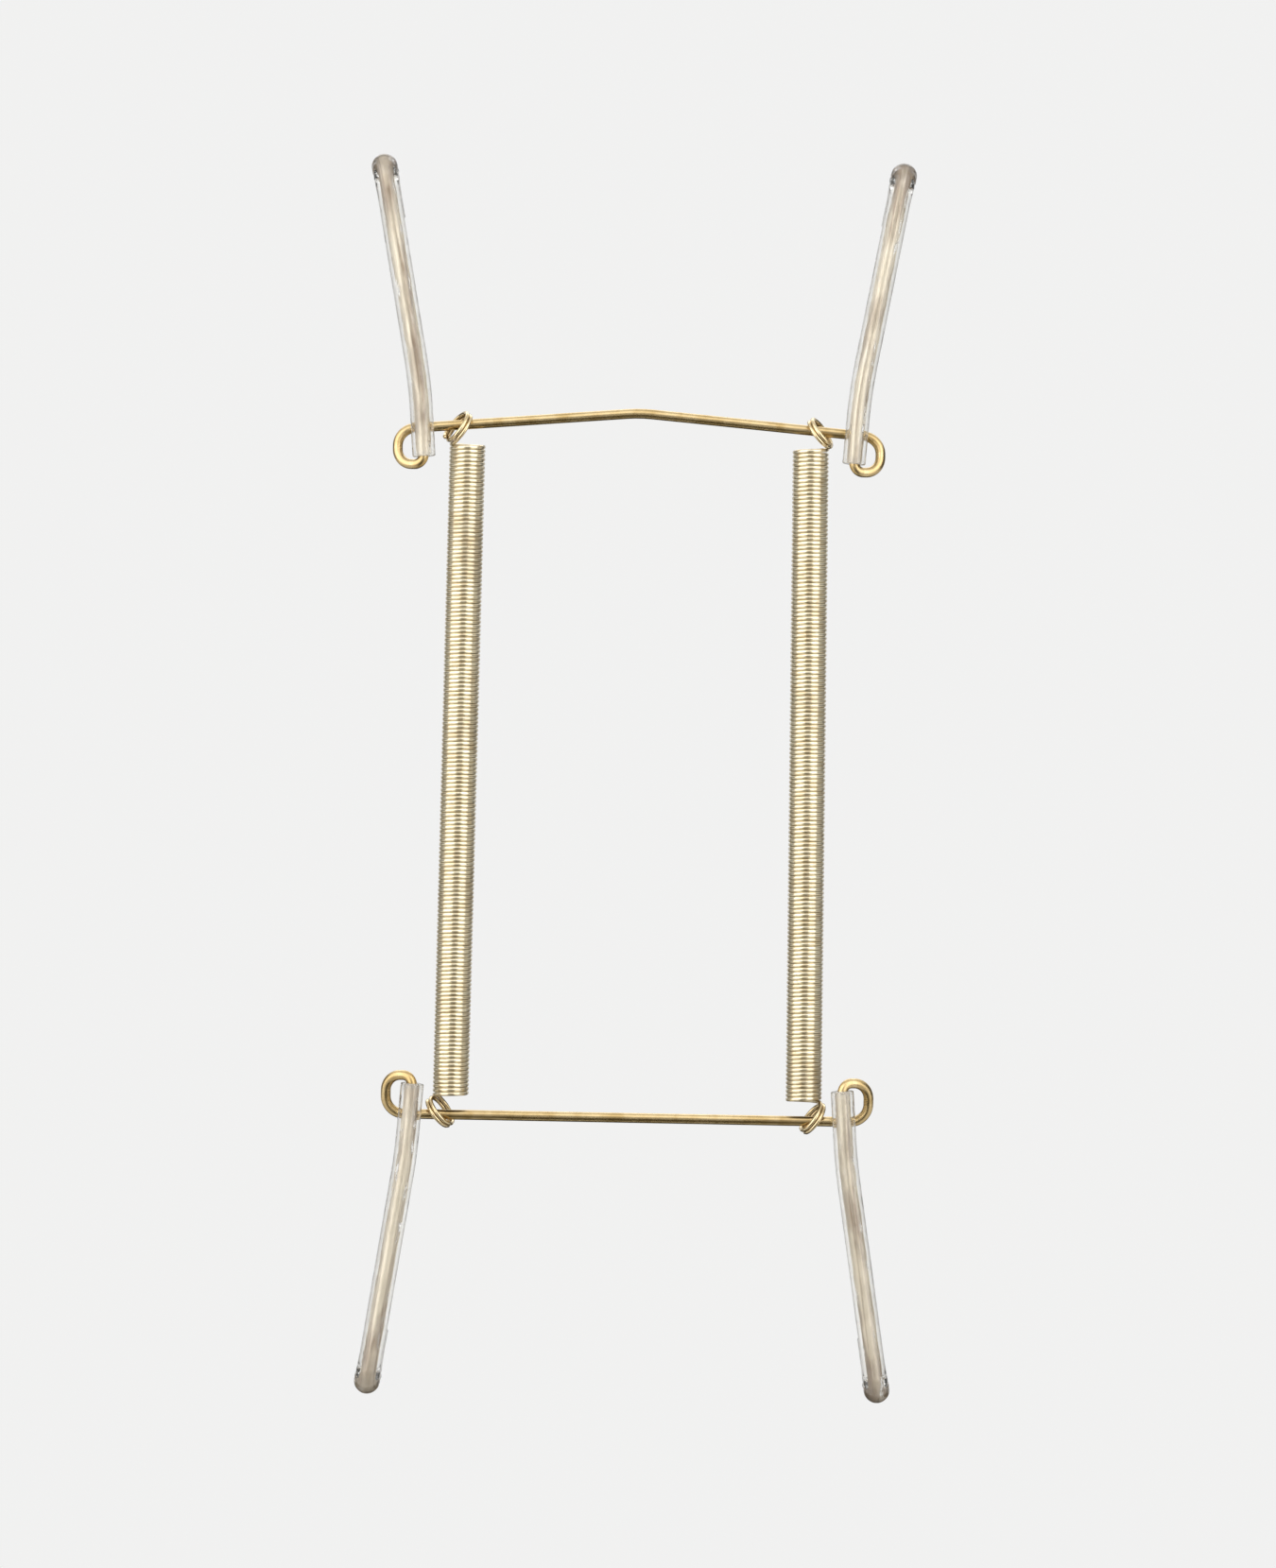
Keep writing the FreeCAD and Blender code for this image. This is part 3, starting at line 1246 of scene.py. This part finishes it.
@dataclass
class Studio:
    """Pale floor, soft lamps, dark panels, plain surroundings and the camera at the photograph's angle.

    Lengths are in metres, but the sensor is in millimetres. The roll is in degrees.
    """

    floor_finish: bpy.types.Material
    lamps: tuple[SoftLamp, ...]
    panels: tuple[DarkPanel, ...]
    ground: Colour
    floor_height: float = -0.33
    floor_size: float = 5.0
    middle: Span = (0.00082, -0.05875)
    frame_height: float = 0.2522
    sensor_width: float = 36.0
    clip_span: Span = (0.05, 50.0)
    camera_distance: float = 1.4
    camera_roll: float = 1.07
    ambient: float = 0.22

    def build_floor(self) -> bpy.types.Object:
        """Lay one square of floor under the hanger, its height in its object's own place.

        Returns:
            The floor.
        """
        half = self.floor_size / 2.0
        mesh = bpy.data.meshes.new("pale_floor")
        corners = [(-half, -half, 0.0), (half, -half, 0.0), (half, half, 0.0), (-half, half, 0.0)]
        mesh.from_pydata(corners, [], [(0, 1, 2, 3)])
        mesh.materials.append(self.floor_finish)
        made = add_object("pale_floor", mesh)
        made.location = (0.0, 0.0, self.floor_height)
        return made

    def build_camera(self) -> bpy.types.Object:
        """Set a long lens square to the hanger, rolled as the photograph is.

        Returns:
            The camera, which is the scene's own.
        """
        data = bpy.data.cameras.new("long_lens")
        data.sensor_width = self.sensor_width
        data.lens = self.sensor_width * self.camera_distance / self.frame_height
        data.clip_start, data.clip_end = self.clip_span
        made = add_object("long_lens", data)
        roll = math.radians(self.camera_roll)
        made.matrix_world = Matrix((
            (math.cos(roll), -math.sin(roll), 0.0, self.middle[0]),
            (0.0, 0.0, -1.0, -self.camera_distance),
            (math.sin(roll), math.cos(roll), 0.0, self.middle[1]),
            (0.0, 0.0, 0.0, 1.0),
        ))
        bpy.context.scene.camera = made
        return made

    def build_world(self) -> None:
        """Light the hanger evenly, and show a plain pale tone where the surroundings are seen."""
        world = bpy.data.worlds.new("plain_surroundings")
        world.use_nodes = True
        bpy.context.scene.world = world
        bench = NodeBench(world.node_tree)
        dim = (self.ambient, self.ambient, self.ambient)
        shade = bench.mix(bench.seen_share(), dim, self.ground)
        sky = bench.node("ShaderNodeBackground", {}, {"Color": shade, "Strength": 1.0})
        bench.node("ShaderNodeOutputWorld", {}, {"Surface": sky})

    def build(self) -> None:
        """Build the floor, lamps, panels, surroundings and camera, and show colours as they are written."""
        self.build_floor()
        target = Vector((self.middle[0], 0.0, self.middle[1]))
        for fitting in self.lamps + self.panels:
            fitting.build(target)
        self.build_world()
        self.build_camera()
        bpy.context.scene.view_settings.view_transform = "Standard"


SATIN_BRASS = PlatedBrass(
    "satin_brass_wire", light=(0.70, 0.54, 0.29), deep=(0.54, 0.385, 0.17), stain=(0.26, 0.15, 0.06),
    roughness=0.22, line_depth=0.00003, patch_scale=55.0, patch_share=0.20)
BRIGHT_BRASS = PlatedBrass(
    "bright_spring_brass", light=(0.92, 0.84, 0.635), deep=(0.78, 0.66, 0.44), stain=(0.30, 0.19, 0.08),
    roughness=0.26, line_depth=0.00002, patch_scale=70.0, patch_share=0.22, spread=0.9)
VINYL = ClearVinyl(
    "clear_vinyl", clear=(0.96, 0.955, 0.935), tinted=(0.88, 0.86, 0.80), rim_tint_and_shade=(0.46, 0.445, 0.415),
    milk=(0.80, 0.79, 0.76), roughness=0.04, haze=0.05)
GROUND = (0.88, 0.88, 0.875)
FLOOR = PaleFloor(
    "pale_floor_paint", paint=(0.82, 0.82, 0.81), worn=(0.805, 0.805, 0.795), far=GROUND,
    fade_span=(0.30, 1.05), lift=0.55)
LAMPS = (
    SoftLamp("left_softbox", bearing=-52.0, height=5.0, distance=1.0, size=(1.25, 2.0), power=11.2),
    SoftLamp("right_softbox", bearing=44.0, height=5.0, distance=1.0, size=(0.81, 2.0), power=7.3),
    SoftLamp("top_softbox", bearing=0.0, height=48.0, distance=1.0, size=(1.2, 0.7), power=1.8),
    SoftLamp("rear_softbox", bearing=180.0, height=45.0, distance=1.1, size=(1.0, 0.6), power=2.5),
    SoftLamp("rear_left_softbox", bearing=-152.0, height=5.0, distance=1.05, size=(0.45, 1.4), power=1.2,
             through_clear=False),
    SoftLamp("rear_right_softbox", bearing=152.0, height=5.0, distance=1.05, size=(0.45, 1.4), power=1.2,
             through_clear=False),
)
PANEL_RADII = (1.15, 1.15)
LOW_HEIGHTS = (-0.25, -0.25)
GOLDEN = (1.0, 0.85, 0.45)
PANELS = (
    DarkPanel("front_panel", (-20.0, 22.0), heights=(-0.60, 0.35), radii=PANEL_RADII, tone=0.40),
    DarkPanel("right_panel", (66.0, 173.0), heights=(-0.60, 0.60), radii=PANEL_RADII, tone=0.10),
    DarkPanel("left_panel", (-84.0, -173.0), heights=(-0.60, 0.60), radii=PANEL_RADII, tone=0.17),
    DarkPanel("low_front_panel", (-32.0, 32.0), LOW_HEIGHTS, radii=(0.0, 0.80), tone=0.08, tint=GOLDEN),
    DarkPanel("low_rear_panel", (130.0, 230.0), LOW_HEIGHTS, radii=(0.0, 0.90), tone=0.06, tint=GOLDEN),
)


def main() -> None:
    """Build the two wire frames, the two springs and the studio, in that order, and report each piece."""
    logging.basicConfig(level=logging.INFO, format="%(name)s: %(message)s")
    sizes = HangerSizes()
    brass = SATIN_BRASS.material()
    clear = (VINYL.material(TubeFace.OUTER), VINYL.material(TubeFace.BORE))
    upper = WireFrame(sizes, Tier.UPPER, Body.UPPER_FRAME, brass, clear, curl_height=5.7,
                      arm_splay=10.4, arm_height=48.1, grain_shift=120.0)
    lower = WireFrame(sizes, Tier.LOWER, Body.LOWER_FRAME, brass, clear, curl_height=6.3,
                      arm_splay=8.8, arm_height=49.6, grain_shift=240.0)
    coil = BRIGHT_BRASS.material()
    made = upper.build() + lower.build()
    made += [CoilSpring(sizes, side, coil).build() for side in Side]
    for piece in made:
        LOG.info("%s: %d faces", piece.name, len(piece.data.polygons))
    Studio(FLOOR.material(), LAMPS, PANELS, GROUND).build()
    LOG.info("studio: floor, %d lamps, %d panels, camera", len(LAMPS), len(PANELS))


if __name__ == "__main__":
    main()
